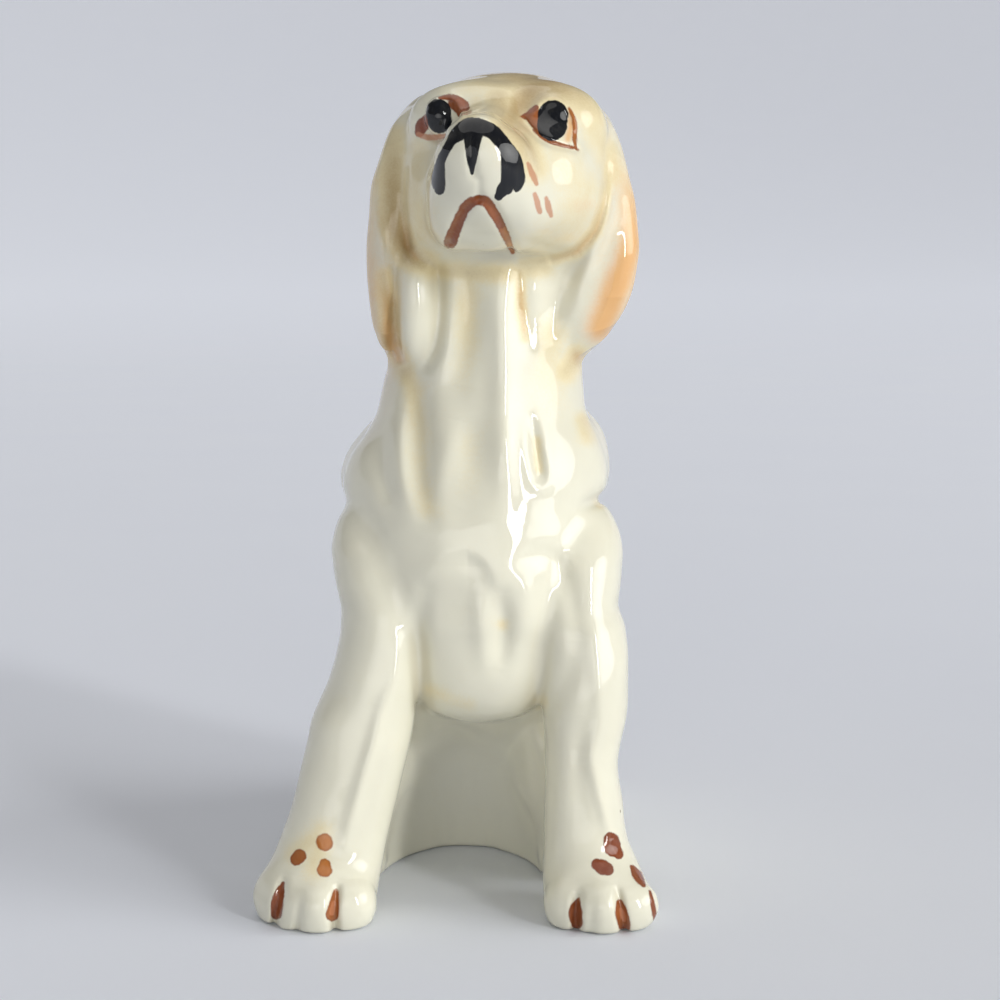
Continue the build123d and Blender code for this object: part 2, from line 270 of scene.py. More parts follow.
# modelling marks in front elevation: points (u, v, share), spread, depth in mm (ridges are
# negative), and the depth y behind which the mark fades
MARKS = [
    # folds of the neck below the chin
    ([(468, 270, 0.6), (470, 305, 1), (466, 345, 0.8), (460, 385, 0.3)], 14, 0.7, -5),
    ([(447, 285, 0.5), (445, 330, 1), (438, 375, 0.4)], 10, -0.3, -5),
    ([(502, 280, 0.5), (502, 330, 1), (503, 400, 1), (504, 460, 0.8), (503, 515, 0.1)], 14, -0.65, -5),
    ([(522, 272, 0.8), (524, 310, 1), (528, 350, 0.4)], 10, 0.3, -4),
    ([(546, 280, 0.8), (549, 300, 1), (545, 325, 0.4)], 13, 0.2, -4),
    ([(567, 290, 0.6), (566, 315, 1), (560, 345, 0.6)], 11, -0.35, -3),
    # drop-shaped lock on the right of the breast
    ([(532, 424, 0.4), (536, 450, 1), (540, 474, 0.8)], 7, 0.42, -5),
    ([(526, 425, 0.5), (526, 450, 1), (532, 480, 0.8), (542, 488, 0.8), (549, 474, 0.8), (546, 450, 1), (538, 415, 0.5)], 7, -0.2, -5),
    # the pair of locks that meet in a point on the other side
    ([(413, 372, 0.5), (419, 400, 0.9), (420, 440, 1), (422, 480, 1), (428, 516, 0.4)], 12, 0.65, -3),
    ([(402, 412, 0.4), (400, 440, 1), (402, 475, 1), (409, 512, 0.3)], 10, -0.4, -2),
    ([(456, 420, 0.2), (449, 445, 0.9), (440, 472, 1), (430, 502, 0.4)], 14, -0.32, -3),
    ([(467, 415, 0.4), (471, 448, 1), (468, 480, 0.7), (457, 506, 0.3)], 16, 0.36, -4),
    ([(380, 440, 0.1), (381, 465, 0.5), (386, 488, 0.9), (390, 505, 0.3)], 9, 0.3, 0),
    ([(366, 497, 0.2), (354, 500, 0.7), (342, 503, 1)], 10, 0.3, 4),
    ([(602, 498, 1), (592, 502, 0.8), (576, 508, 0.2)], 7, 0.55, 4),
    # breast below the upper chest: groove down the middle and the swell each side
    ([(424, 590, 0.5), (420, 625, 1), (420, 665, 1), (420, 702, 0.6)], 10, 0.5, -6),
    ([(577, 640, 0.4), (572, 670, 0.8), (556, 705, 0.6)], 11, 0.35, -6),
    ([(500, 596, 0.4), (503, 618, 1), (503, 640, 0.9), (500, 668, 0.2)], 10, 0.65, -8),
    ([(480, 596, 0.5), (480, 625, 1), (483, 662, 0.4)], 10, -0.3, -8),
    ([(527, 594, 0.8), (528, 615, 1), (524, 648, 0.4)], 14, -0.35, -8),
    # swell of the breast on the right
    ([(512, 572, 0.1), (528, 559, 0.6), (545, 555, 0.9), (559, 565, 1), (569, 587, 1), (575, 612, 0.9), (577, 640, 0.4)], 11, 0.34, -5),
    # flats of the forelegs: the corner each streak of light runs along
    ([(398, 640, 0.2), (394, 680, 0.6), (384, 706, 0.9), (372, 750, 1), (357, 800, 1), (345, 842, 0.4)], 8, -0.4, -8),
    ([(595, 640, 0.2), (598, 680, 0.6), (600, 720, 0.4), (592, 757, 0.8), (598, 785, 1), (606, 815, 1), (612, 838, 0.4)], 8, -0.35, -8),
    ([(583, 716, 0.2), (578, 750, 0.8), (578, 800, 0.5), (580, 840, 0.1)], 9, 0.25, -8),
    # grooves between the toes
    ([(284, 876, 0.1), (281, 892, 0.9), (277, 908, 1), (275, 926, 1)], 5, 0.55, -11),
    ([(302, 893, 0.1), (299, 910, 0.7), (297, 930, 1)], 5, 0.28, -11),
    ([(338, 882, 0.1), (336, 896, 0.8), (334, 912, 1), (336, 936, 1)], 5, 0.55, -11),
    ([(579, 890, 0.1), (576, 906, 1), (576, 935, 1)], 5, 0.55, -11),
    ([(616, 884, 0.1), (619, 900, 0.9), (622, 915, 1), (625, 940, 1)], 5, 0.55, -11),
    ([(594, 896, 0.1), (592, 912, 0.6), (591, 936, 0.8)], 6, 0.2, -11),
    # ear against cheek, and the rolled front rim of each ear
    ([(606, 165, 0.3), (605, 200, 0.9), (596, 229, 1), (577, 250, 1), (552, 259, 0.6)], 5, 0.3, -1),
    ([(614, 165, 0.5), (613, 190, 1), (605, 225, 1), (593, 255, 1), (580, 287, 0.8), (574, 315, 0.3)], 7, -0.3, 0),
    ([(402, 160, 0.4), (403, 200, 0.9), (405, 230, 1), (411, 254, 1), (424, 263, 0.4)], 5, 0.25, -1),
    ([(377, 205, 0.2), (379, 230, 1), (384, 262, 1), (390, 292, 0.6)], 4, -0.2, 0),
    ([(394, 270, 0.5), (394, 310, 1), (394, 345, 1), (397, 362, 0.3)], 7, 0.6, 0),
    ([(440, 272, 0.6), (441, 310, 1), (437, 345, 1), (427, 366, 0.5)], 7, 0.5, -3),
    ([(408, 190, 0.3), (410, 220, 0.8), (413, 240, 0.5)], 4, -0.2, -3),
    # corner of the mouth and the lip
    ([(480, 199, 0.6), (466, 209, 1), (456, 226, 1), (449, 242, 1)], 5, 0.3, -10),
    ([(480, 199, 0.6), (494, 208, 1), (504, 228, 1), (511, 250, 0.8)], 5, 0.3, -10),
    ([(428, 190, 0.3), (424, 213, 1), (426, 232, 1), (436, 244, 0.5), (446, 249, 0.1)], 6, 0.36, -9),
    ([(479, 180, 0.6), (479, 198, 0.8)], 4, 0.2, -12),
    ([(471, 140, 0.5), (472, 160, 1), (474, 176, 0.6)], 5, 0.25, -12),
    # furrow of the forehead and the eye rims
    ([(533, 84, 0.3), (524, 100, 0.9), (513, 116, 1), (506, 126, 0.4)], 15, 0.32, -4),
    ([(428, 103, 0.6), (441, 96, 1), (455, 100, 1), (461, 112, 0.8)], 5, -0.3, -6),
    ([(424, 128, 0.7), (437, 139, 1), (452, 133, 0.7)], 4, 0.25, -6),
    ([(534, 112, 0.7), (545, 98, 1), (560, 98, 1), (572, 112, 0.9), (577, 128, 0.6)], 5, -0.3, -5),
    ([(524, 120, 0.7), (540, 138, 1), (558, 146, 1), (576, 150, 0.6)], 4, 0.3, -5),
]
# hollow of the breast under a clear upper rim: middle (u, v), half sizes, width of the rim at the
# top and at the sides as a share of the half size, depth, v where it starts and ends to fade
BOWL = (460, 604, 38, 50, 0.10, 0.45, 0.55, 590, 672, -6)
MARKS = [(curve(m[0]), *m[1:]) for m in MARKS]
RNG = np.random.RandomState(7)
WAVES = [(RNG.normal(size=3), RNG.uniform(2.6, 7.5), RNG.uniform(0, 6.28)) for _ in range(14)]


def ripple(p):
    """Hand-finished surface: slow, shallow unevenness, mm."""
    d = 0
    for way, length, phase in WAVES:
        way = (way / np.linalg.norm(way) * 6.28 / length).astype(f32)
        d = d + np.sin(p @ way + f32(phase)) * (length / 7.5)
    return d * 0.018


def marks(p):
    u, v = elevation(p)
    out = np.zeros(len(p), f32)
    for pts, spread, depth, fade in MARKS:
        us = [q[0] for q in pts]
        vs = [q[1] for q in pts]
        m = 3 * spread
        sel = np.nonzero((u > min(us) - m) & (u < max(us) + m) & (v > min(vs) - m) & (v < max(vs) + m) & (p[:, 1] < fade + 2))[0]
        if not len(sel):
            continue
        gap, share = line_gap(u[sel], v[sel], pts)
        soft = np.clip((fade + 2 - p[sel, 1]) / 4, 0, 1)
        out[sel] += (depth * share * soft * np.exp(-((gap / spread) ** 2))).astype(f32)
    cu, cv, ru, rv, top, side, depth, v0, v1, fade = BOWL
    sel = np.nonzero((np.abs(u - cu) < 1.9 * ru) & (np.abs(v - cv) < 1.9 * rv) & (p[:, 1] < fade + 2))[0]
    if len(sel):
        a, b = (u[sel] - cu) / ru, (v[sel] - cv) / rv
        rho = np.sqrt(a * a + b * b) + 1e-6
        clear = np.clip(-1.3 * b, 0, 1) * np.clip(0.8 + a, 0.25, 1)
        rim = side + (top - side) * clear
        inward = 0.06 * np.logaddexp(0, (1 - rho * rho) / 2 / 0.06)
        edge = 1 - np.exp(-inward / rim)
        fall = np.clip((v1 - v[sel]) / (v1 - v0), 0, 1)
        soft = np.clip((fade + 2 - p[sel, 1]) / 4, 0, 1)
        out[sel] += (depth * edge * fall * fall * (3 - 2 * fall) * soft).astype(f32)
    return out


def trunk_form(p):
    d = loft(p, TORSO, 2.15)
    d = smax(d, p[:, 2] - 64, 2.0)
    # keel of the breast, rump and the muscles of the thighs
    d = smin(d, ell(p, (2.2, -9.6, 22.0), (7.0, 6.2, 5.7)), 1.6)
    d = smin(d, ell(p, (0.6, 13.5, 9.5), (12.6, 10.8, 11.0)), 3.0)
    for x in (-9.9, 10.6):
        d = smin(d, ell(p, (x, 6.6, 10.0), (4.7, 10.6, 9.2), turn(rx=-16)), 1.0)
    # inner side of each hind leg, and the arch of the groin between them
    for x, z in ((-10.2, 5.0), (10.6, 6.0)):
        d = smin(d, ell(p, (x, -1.0, z), (4.8, 7.2, 11.0), turn(rx=10)), 2.2)
    for x in (-6.6, 7.2):
        d = smin(d, ell(p, (x, 3.0, 3.0), (5.0, 9.0, 11.0)), 2.2)
    d = smax(d, -ell(p, (0.3, -9.0, -0.5), (8.0, 13.5, 15.6)), 2.0)
    d = smin(d, ell(p, (7.7, -2.0, 12.0), (2.0, 4.2, 6.2), turn(ry=-8)), 1.6)
    # shoulder blades
    d = smin(d, ell(p, (-6.2, 2.6, 38.4), (4.7, 6.4, 4.8), turn(rx=20)), 2.4)
    d = smin(d, ell(p, (9.2, 2.6, 39.6), (4.9, 6.4, 5.4), turn(rx=20)), 2.4)
    # firing vent
    vent = np.maximum(np.hypot(p[:, 0] - 0.5, p[:, 1] - 14.0) - 1.5, p[:, 2] - 7.0)
    return smax(d, -vent, 0.4)


def leg_form(p, tab, toes, root):
    d = loft(p, tab, 2.2)
    d = smax(d, p[:, 2] - 37, 2.0)
    for at, r in toes:
        d = smin(d, cone(p, root, at, 3.0, r), 1.5)
    return d


def foot_form(p, x, out):
    """Hind foot: long, flat on the ground, with four toes."""
    d = rods(p, [(x, 6.0, 2.7, 3.0), (x, -1.5, 2.9, 3.1), (x, -4.2, 2.4, 2.6)], 1.0)
    for dx, dy in ((-2.7, -4.8), (-0.95, -6.2), (0.95, -6.2), (2.7, -4.8)):
        d = smin(d, cone(p, (x + dx * 0.5, -1.0, 2.7), (x + dx, dy, 1.6), 2.0, 1.5), 0.7)
    return d


def head_form(p):
    d = ell(p, (4.6, -1.0, 66.6), (10.2, 10.8, 9.2))
    d = smin(d, ell(p, (4.8, -1.2, 69.6), (9.8, 10.4, 6.52)), 1.5)
    # brow, cheeks, muzzle
    d = smin(d, ell(p, (-0.2, -7.9, 71.4), (3.9, 3.6, 2.9)), 3.0)
    d = smin(d, ell(p, (9.0, -7.5, 71.1), (4.1, 3.6, 3.0)), 3.0)
    d = smin(d, ell(p, (-0.2, -6.4, 64.2), (5.0, 6.4, 5.8)), 2.2)
    d = smin(d, ell(p, (9.2, -5.8, 64.0), (5.2, 6.6, 5.8)), 2.2)
    m = cone(p, (3.5, -9.5, 69.4), (2.2, -19.4, 67.8), 4.0, 2.9)
    m = smin(m, ell(p, (2.9, -14.2, 65.4), (5.0, 8.0, 5.2)), 1.5)
    m = smin(m, ell(p, (0.1, -15.2, 63.3), (2.85, 5.0, 3.6), turn(rx=-14)), 1.2)
    m = smin(m, ell(p, (5.2, -14.8, 64.0), (3.3, 5.6, 4.1), turn(rx=-14)), 1.0)
    d = smin(d, m, 2.6)
    d = smin(d, ell(p, (7.6, -10.6, 65.4), (4.6, 6.0, 5.4)), 2.6)
    # lower jaw, set back between the lips
    d = smin(d, ell(p, (2.4, -13.8, 61.9), (3.0, 4.2, 2.3)), 0.9)
    # nose
    d = smin(d, ell(p, (2.3, -19.5, 67.1), (3.4, 2.7, 3.25)), 2.4)
    # eyeballs
    d = smin(d, ell(p, (-1.45, -11.0, 71.3), (1.3, 1.35, 1.7)), 0.3)
    d = smin(d, ell(p, (8.6, -10.7, 71.0), (1.6, 1.5, 1.95)), 0.3)
    return d


def outline_gap(y, z, pts):
    """Signed distance to a closed outline."""
    best = np.full(len(y), 1e9, f32)
    odd = np.zeros(len(y), bool)
    for (y0, z0), (y1, z1) in zip(pts, pts[1:] + pts[:1]):
        ey, ez = y1 - y0, z1 - z0
        wy, wz = y - y0, z - z0
        t = np.clip((wy * ey + wz * ez) / (ey * ey + ez * ez), 0, 1)
        best = np.minimum(best, (wy - ey * t) ** 2 + (wz - ez * t) ** 2)
        odd ^= ((z0 > z) != (z1 > z)) & (y < (y1 - y0) * (z - z0) / (z1 - z0 + 1e-9) + y0)
    return np.where(odd, -1, 1) * np.sqrt(best)


def ear_form(p, tab, edge, lobe):
    zs, cols = tab
    mid = np.interp(p[:, 2], zs, cols[:, 0]).astype(f32)
    half = np.interp(p[:, 2], zs, cols[:, 1]).astype(f32)
    flat = (np.abs(p[:, 0] - mid) - half) * 0.97
    d = smax(flat, outline_gap(p[:, 1], p[:, 2], edge).astype(f32), 2.6)
    if lobe:
        d = smin(d, ell(p, (-3.95, -7.4, 54.8), (1.95, 2.7, 5.3)), 0.8)
    else:
        d = smin(d, ell(p, (11.9, -6.2, 55.6), (1.7, 2.2, 4.8), turn(ry=14)), 1.4)
    return d


TAIL = curve([(0.8, 20.0, 4.1, 3.7), (2.0, 24.3, 4.0, 3.55), (4.6, 26.7, 3.7, 3.35), (8.0, 27.2, 3.45, 3.1),
              (11.2, 26.0, 3.05, 2.7), (13.6, 23.5, 2.5, 2.1), (14.9, 20.8, 1.9, 1.4), (15.3, 19.0, 1.5, 0.8)], 20)


def tail_form(p):
    return rods(p, TAIL, 0)


def within(p, lo, hi, fn):
    """fn near its own box, a plain large distance elsewhere."""
    out = np.full(len(p), 9.0, f32)
    sel = np.nonzero((p[:, 0] > lo[0]) & (p[:, 0] < hi[0]) & (p[:, 1] > lo[1]) & (p[:, 1] < hi[1]) & (p[:, 2] > lo[2]) & (p[:, 2] < hi[2]))[0]
    if len(sel):
        out[sel] = np.minimum(fn(p[sel]), 9.0)
    return out


def forms(p):
    trunk = within(p, (-99, -99, -99), (99, 99, 70), trunk_form)
    head = within(p, (-14, -30, 50), (24, 18, 99), head_form)
    return {
        "core": smin(trunk, head, 2.2),
        "right_foreleg": within(p, (-26, -30, -9), (5, 8, 44), lambda q: leg_form(q, RIGHT_LEG, RIGHT_TOES, (-12.2, -15.6, 3.2))),
        "left_foreleg": within(p, (0, -30, -9), (26, 8, 44), lambda q: leg_form(q, LEFT_LEG, LEFT_TOES, (12.6, -15.6, 3.2))),
        "right_hind_foot": within(p, (-22, -16, -9), (-1, 16, 13), lambda q: foot_form(q, -11.6, -1)),
        "left_hind_foot": within(p, (3, -16, -9), (23, 16, 13), lambda q: foot_form(q, 12.4, 1)),
        "right_ear": within(p, (-16, -18, 43), (3, 12, 80), lambda q: ear_form(q, RIGHT_EAR, RIGHT_EAR_EDGE, True)),
        "left_ear": within(p, (4, -18, 43), (24, 12, 80), lambda q: ear_form(q, LEFT_EAR, LEFT_EAR_EDGE, False)),
        "tail": within(p, (-10, 10, -9), (24, 40, 14), tail_form),
    }


def field(p):
    p = np.asarray(p, f32)
    g = forms(p)
    d = g["core"]
    for leg in ("right_foreleg", "left_foreleg"):
        d = smin(d, g[leg], 1.2)
    for foot in ("right_hind_foot", "left_hind_foot"):
        d = smin(d, g[foot], 1.0)
    d = smin(d, g["tail"], 1.2)
    for ear in ("right_ear", "left_ear"):
        d = smin(d, g[ear], 1.6)
    d = d + marks(p) + ripple(p)
    d = smax(d, -p[:, 2], 0.5)
    return d.astype(f32)


# ------------------------------------------------------------------ surface of the field


def chunks(fn, p, size=250000):
    return np.concatenate([fn(p[i:i + size]) for i in range(0, len(p), size)])


def slope(p):
    """Value and gradient of the field."""
    e = f32(0.04)
    g = np.zeros_like(p)
    val = np.zeros(len(p), f32)
    for k in ((1, -1, -1), (-1, -1, 1), (-1, 1, -1), (1, 1, 1)):
        k = np.array(k, f32)
        d = chunks(field, p + e * k)
        g += d[:, None] * k
        val += d
    return val / 4, g / (4 * e)


def onto(p, rounds=1):
    for _ in range(rounds):
        d, g = slope(p)
        p = p - g * (d / np.maximum((g * g).sum(1), 0.2))[:, None]
    return p


def surface(lo, hi, h, coarse=4):
    n = np.ceil((np.asarray(hi) - lo) / (h * coarse)).astype(int)
    lo = np.asarray(lo, f32)

    def nodes_at(ix, step):
        return lo + np.stack(ix, 1).astype(f32) * f32(step)

    big = h * coarse
    ix = [a.ravel() for a in np.meshgrid(*[np.arange(k + 1) for k in n], indexing="ij")]
    rough = chunks(field, nodes_at(ix, big)).reshape(n + 1)
    near = np.abs(rough) < big * 1.25 + 0.5
    act = np.zeros(n, bool)
    for a in (0, 1):
        for b in (0, 1):
            for c in (0, 1):
                act |= near[a:a + n[0], b:b + n[1], c:c + n[2]]
    fine = act.repeat(coarse, 0).repeat(coarse, 1).repeat(coarse, 2)
    N = n * coarse + 1
    mask = np.zeros(N, bool)
    for a in (0, 1):
        for b in (0, 1):
            for c in (0, 1):
                mask[a:a + N[0] - 1, b:b + N[1] - 1, c:c + N[2] - 1] |= fine
    val = rough.repeat(coarse, 0).repeat(coarse, 1).repeat(coarse, 2)[:N[0], :N[1], :N[2]].copy()
    ix = np.nonzero(mask)
    val[mask] = chunks(field, nodes_at(ix, h))
    inside = val < 0
    M = N - 1
    count = np.zeros(M, np.int8)
    for a in (0, 1):
        for b in (0, 1):
            for c in (0, 1):
                count += inside[a:a + M[0], b:b + M[1], c:c + M[2]]
    mixed = (count > 0) & (count < 8)
    ids = np.full(M, -1, np.int32)
    ci = np.nonzero(mixed)
    ids[mixed] = np.arange(len(ci[0]))
    corner = {}
    for a in (0, 1):
        for b in (0, 1):
            for c in (0, 1):
                corner[a, b, c] = val[ci[0] + a, ci[1] + b, ci[2] + c]
    total = np.zeros((len(ci[0]), 3), f32)
    weight = np.zeros(len(ci[0]), f32)
    for ax in range(3):
        for s in (0, 1):
            for t in (0, 1):
                k0 = [s, t]
                k0.insert(ax, 0)
                k1 = list(k0)
                k1[ax] = 1
                va, vb = corner[tuple(k0)], corner[tuple(k1)]
                cross = (va < 0) != (vb < 0)
                t_ = np.where(cross, va / np.where(cross, va - vb, 1), 0)
                pt = np.tile(np.array(k0, f32), (len(va), 1))
                pt[:, ax] = t_
                total += pt * cross[:, None]
                weight += cross
    verts = lo + (np.stack(ci, 1) + total / weight[:, None]).astype(f32) * f32(h)
    quads = []
    for ax in range(3):
        b, c = (ax + 1) % 3, (ax + 2) % 3
        s0 = [slice(1, -1)] * 3
        s1 = [slice(1, -1)] * 3
        s0[ax] = slice(0, -1)
        s1[ax] = slice(1, None)
        i = np.stack(np.nonzero(inside[tuple(s0)] != inside[tuple(s1)]), 1)
        i[:, b] += 1
        i[:, c] += 1
        out = inside[i[:, 0], i[:, 1], i[:, 2]]
        ring = []
        for db, dc in ((1, 1), (0, 1), (0, 0), (1, 0)):
            j = i.copy()
            j[:, b] -= db
            j[:, c] -= dc
            ring.append(ids[j[:, 0], j[:, 1], j[:, 2]])
        q = np.stack(ring, 1)
        q[~out] = q[~out][:, ::-1]
        quads.append(q)
    quads = np.concatenate(quads)
    return verts, quads[(quads >= 0).all(1)]


def relax(verts, quads, rounds):
    e = np.concatenate([quads[:, [0, 1]], quads[:, [1, 2]], quads[:, [2, 3]], quads[:, [3, 0]]])
    n = len(verts)
    deg = np.bincount(e.ravel(), minlength=n)[:, None]
    for _ in range(rounds):
        mean = np.stack([np.bincount(e[:, 0], verts[e[:, 1], k], n) + np.bincount(e[:, 1], verts[e[:, 0], k], n) for k in range(3)], 1) / deg
        verts = onto((verts + 0.7 * (mean - verts)).astype(f32))
    return verts


def split(V, T, L):
    """Cuts triangles along L = 0: all points, triangles with L < 0, triangles with L > 0."""
    L = np.where(np.abs(L) < 1e-5, 1e-5, L)
    neg = L < 0
    k = neg[T].sum(1)
    mixed = T[(k == 1) | (k == 2)]
    nm = neg[mixed]
    one = nm.sum(1) == 1
    lone = np.where(one, nm.argmax(1), (~nm).argmax(1))
    r = np.arange(len(mixed))
    a, b, c = mixed[r, lone], mixed[r, (lone + 1) % 3], mixed[r, (lone + 2) % 3]
    pairs = np.concatenate([np.stack([a, b], 1), np.stack([a, c], 1)])
    pairs.sort(1)
    uniq, inv = np.unique(pairs, axis=0, return_inverse=True)
    inv = inv.ravel()
    t = (L[uniq[:, 0]] / (L[uniq[:, 0]] - L[uniq[:, 1]]))[:, None]
    new = V[uniq[:, 0]] * (1 - t) + V[uniq[:, 1]] * t
    ab, ac = inv[:len(a)] + len(V), inv[len(a):] + len(V)
    tip = np.stack([a, ab, ac], 1)
    rest = np.concatenate([np.stack([ab, b, c], 1), np.stack([ab, c, ac], 1)])
    one2 = np.concatenate([one, one])
    V2 = np.concatenate([V, new]).astype(f32)
    return V2, np.concatenate([T[k == 3], tip[one], rest[~one2]]), np.concatenate([T[k == 0], tip[~one], rest[one2]])


def islands(T, n):
    """Label of the connected patch of each triangle."""
    lab = np.arange(n)
    while True:
        low = lab[T].min(1)
        new = lab.copy()
        for i in range(3):
            np.minimum.at(new, T[:, i], low)
        new = new[new]
        if (new == lab).all():
            return lab[T[:, 0]]
        lab = new


def main_patch(T, n):
    lab = islands(T, n)
    names, cnt = np.unique(lab, return_counts=True)
    keep = lab == names[cnt.argmax()]
    return T[keep], T[~keep]


def rims(T):
    """Closed boundary loops of a patch, each in the patch's own edge direction."""
    e = np.concatenate([T[:, [0, 1]], T[:, [1, 2]], T[:, [2, 0]]])
    key = np.sort(e, 1)
    _, inv, cnt = np.unique(key, axis=0, return_inverse=True, return_counts=True)
    free = e[cnt[inv.ravel()] == 1]
    nxt = dict(zip(free[:, 0].tolist(), free[:, 1].tolist()))
    loops = []
    while nxt:
        start, at = nxt.popitem()
        loop = [start]
        while at != start:
            loop.append(at)
            at = nxt.pop(at)
        loops.append(loop)
    return loops


CUT_Z, LEG_Z = 49.0, 15.5


def skin(lo, hi, h):
    """Surface inside a box as points and triangles."""
    v, q = surface(lo, hi, h)
    v = relax(onto(v), q, 2)
    v[:, 2] = np.where(np.abs(v[:, 2]) < 0.012, 0, v[:, 2])
    return v, np.concatenate([q[:, [0, 1, 2]], q[:, [0, 2, 3]]])


def joint_field(name, p):
    """Negative on the named casting's side of its joint."""
    g = forms(np.asarray(p, f32))
    own = g[name]
    rest = np.min([d for n, d in g.items() if n != name], 0)
    L = own - rest
    if name.endswith("ear"):
        L = np.maximum(L, CUT_Z + 0.05 - p[:, 2])
    if name.endswith("foreleg"):
        L = np.maximum(L, p[:, 2] - LEG_Z)
    return L


def part_off(V, T, name):
    """One casting cut off a surface; returns points, its triangles and the other triangles."""
    V, inner, outer = split(V, T, chunks(lambda q: joint_field(name, q), V))
    inner, strays = main_patch(inner, len(V))
    return V, inner, np.concatenate([outer, strays])


pieces = {}
V, T = skin((-16.0, -26.0, 47.5), (20.0, 13.0, 78.0), HEAD_GRID)
for name in ("left_ear", "right_ear"):
    V, pieces[name], T = part_off(V, T, name)
V, pieces["head_casting"], _ = split(V, T, CUT_Z - V[:, 2])
pieces = {n: (V, t) for n, t in pieces.items()}
V, T = skin((-20.5, -26.0, -1.0), (20.5, -4.0, 18.0), PAW_GRID)
for name in ("left_foreleg", "right_foreleg"):
    V, t, T = part_off(V, T, name)
    pieces[name] = (V, t)
V, T = skin((-20.5, -26.0, -1.0), (20.5, 33.0, 51.0), GRID)
for name in ("left_foreleg", "right_foreleg", "left_hind_foot", "right_hind_foot", "tail"):
    V, t, T = part_off(V, T, name)
    if name not in pieces:
        pieces[name] = (V, t)
V, _, T = split(V, T, CUT_Z - V[:, 2])
pieces["trunk_casting"] = (V, T)
for name, (V, T) in pieces.items():
    print(name, len(T), "triangles,", len(rims(T)), "rims,", len(np.unique(islands(T, len(V)))), "patches", V[np.unique(T)].min(0), V[np.unique(T)].max(0))

# ------------------------------------------------------------------ materials
INK = (0.005, 0.006, 0.009)


class Nodes:
    def __init__(self, name):
        self.mat = bpy.data.materials.new(name)
        self.mat.use_nodes = True
        self.t = self.mat.node_tree
        self.t.nodes.clear()
        self.out = self.t.nodes.new("ShaderNodeOutputMaterial")
        self.bsdf = self.t.nodes.new("ShaderNodeBsdfPrincipled")
        self.link(self.bsdf.outputs[0], self.out.inputs[0])
        self.coord = self.t.nodes.new("ShaderNodeTexCoord").outputs["Object"]

    def link(self, a, b):
        self.t.links.new(a, b)

    def put(self, sock, v):
        if isinstance(v, bpy.types.NodeSocket):
            self.link(v, sock)
        else:
            sock.default_value = v

    def attr(self, name):
        n = self.t.nodes.new("ShaderNodeAttribute")
        n.attribute_name = name
        return n.outputs["Fac"]

    def noise(self, size_mm, detail=2.0, rough=0.5, stretch=None):
        m = self.t.nodes.new("ShaderNodeMapping")
        s = 1000.0 / size_mm
        m.inputs["Scale"].default_value = [s * k for k in (stretch or (1, 1, 1))]
        self.link(self.coord, m.inputs["Vector"])
        n = self.t.nodes.new("ShaderNodeTexNoise")
        n.inputs["Scale"].default_value = 1.0
        n.inputs["Detail"].default_value = detail
        n.inputs["Roughness"].default_value = rough
        self.link(m.outputs[0], n.inputs["Vector"])
        return n.outputs["Fac"]

    def math(self, op, a, b=0.0, c=0.0, clamp=False):
        n = self.t.nodes.new("ShaderNodeMath")
        n.operation = op
        n.use_clamp = clamp
        for s, v in zip(n.inputs, (a, b, c)):
            self.put(s, v)
        return n.outputs[0]

    def ramp(self, v, a, b, lo=0.0, hi=1.0):
        n = self.t.nodes.new("ShaderNodeMapRange")
        n.interpolation_type = "SMOOTHSTEP"
        for s, x in zip(("Value", "From Min", "From Max", "To Min", "To Max"), (v, a, b, lo, hi)):
            self.put(n.inputs[s], x)
        return n.outputs["Result"]

    def mix(self, f, a, b):
        n = self.t.nodes.new("ShaderNodeMix")
        n.data_type = "RGBA"
        self.put(n.inputs["Factor"], f)
        for s, v in ((n.inputs[6], a), (n.inputs[7], b)):
            self.put(s, (*v, 1) if isinstance(v, tuple) else v)
        return n.outputs[2]


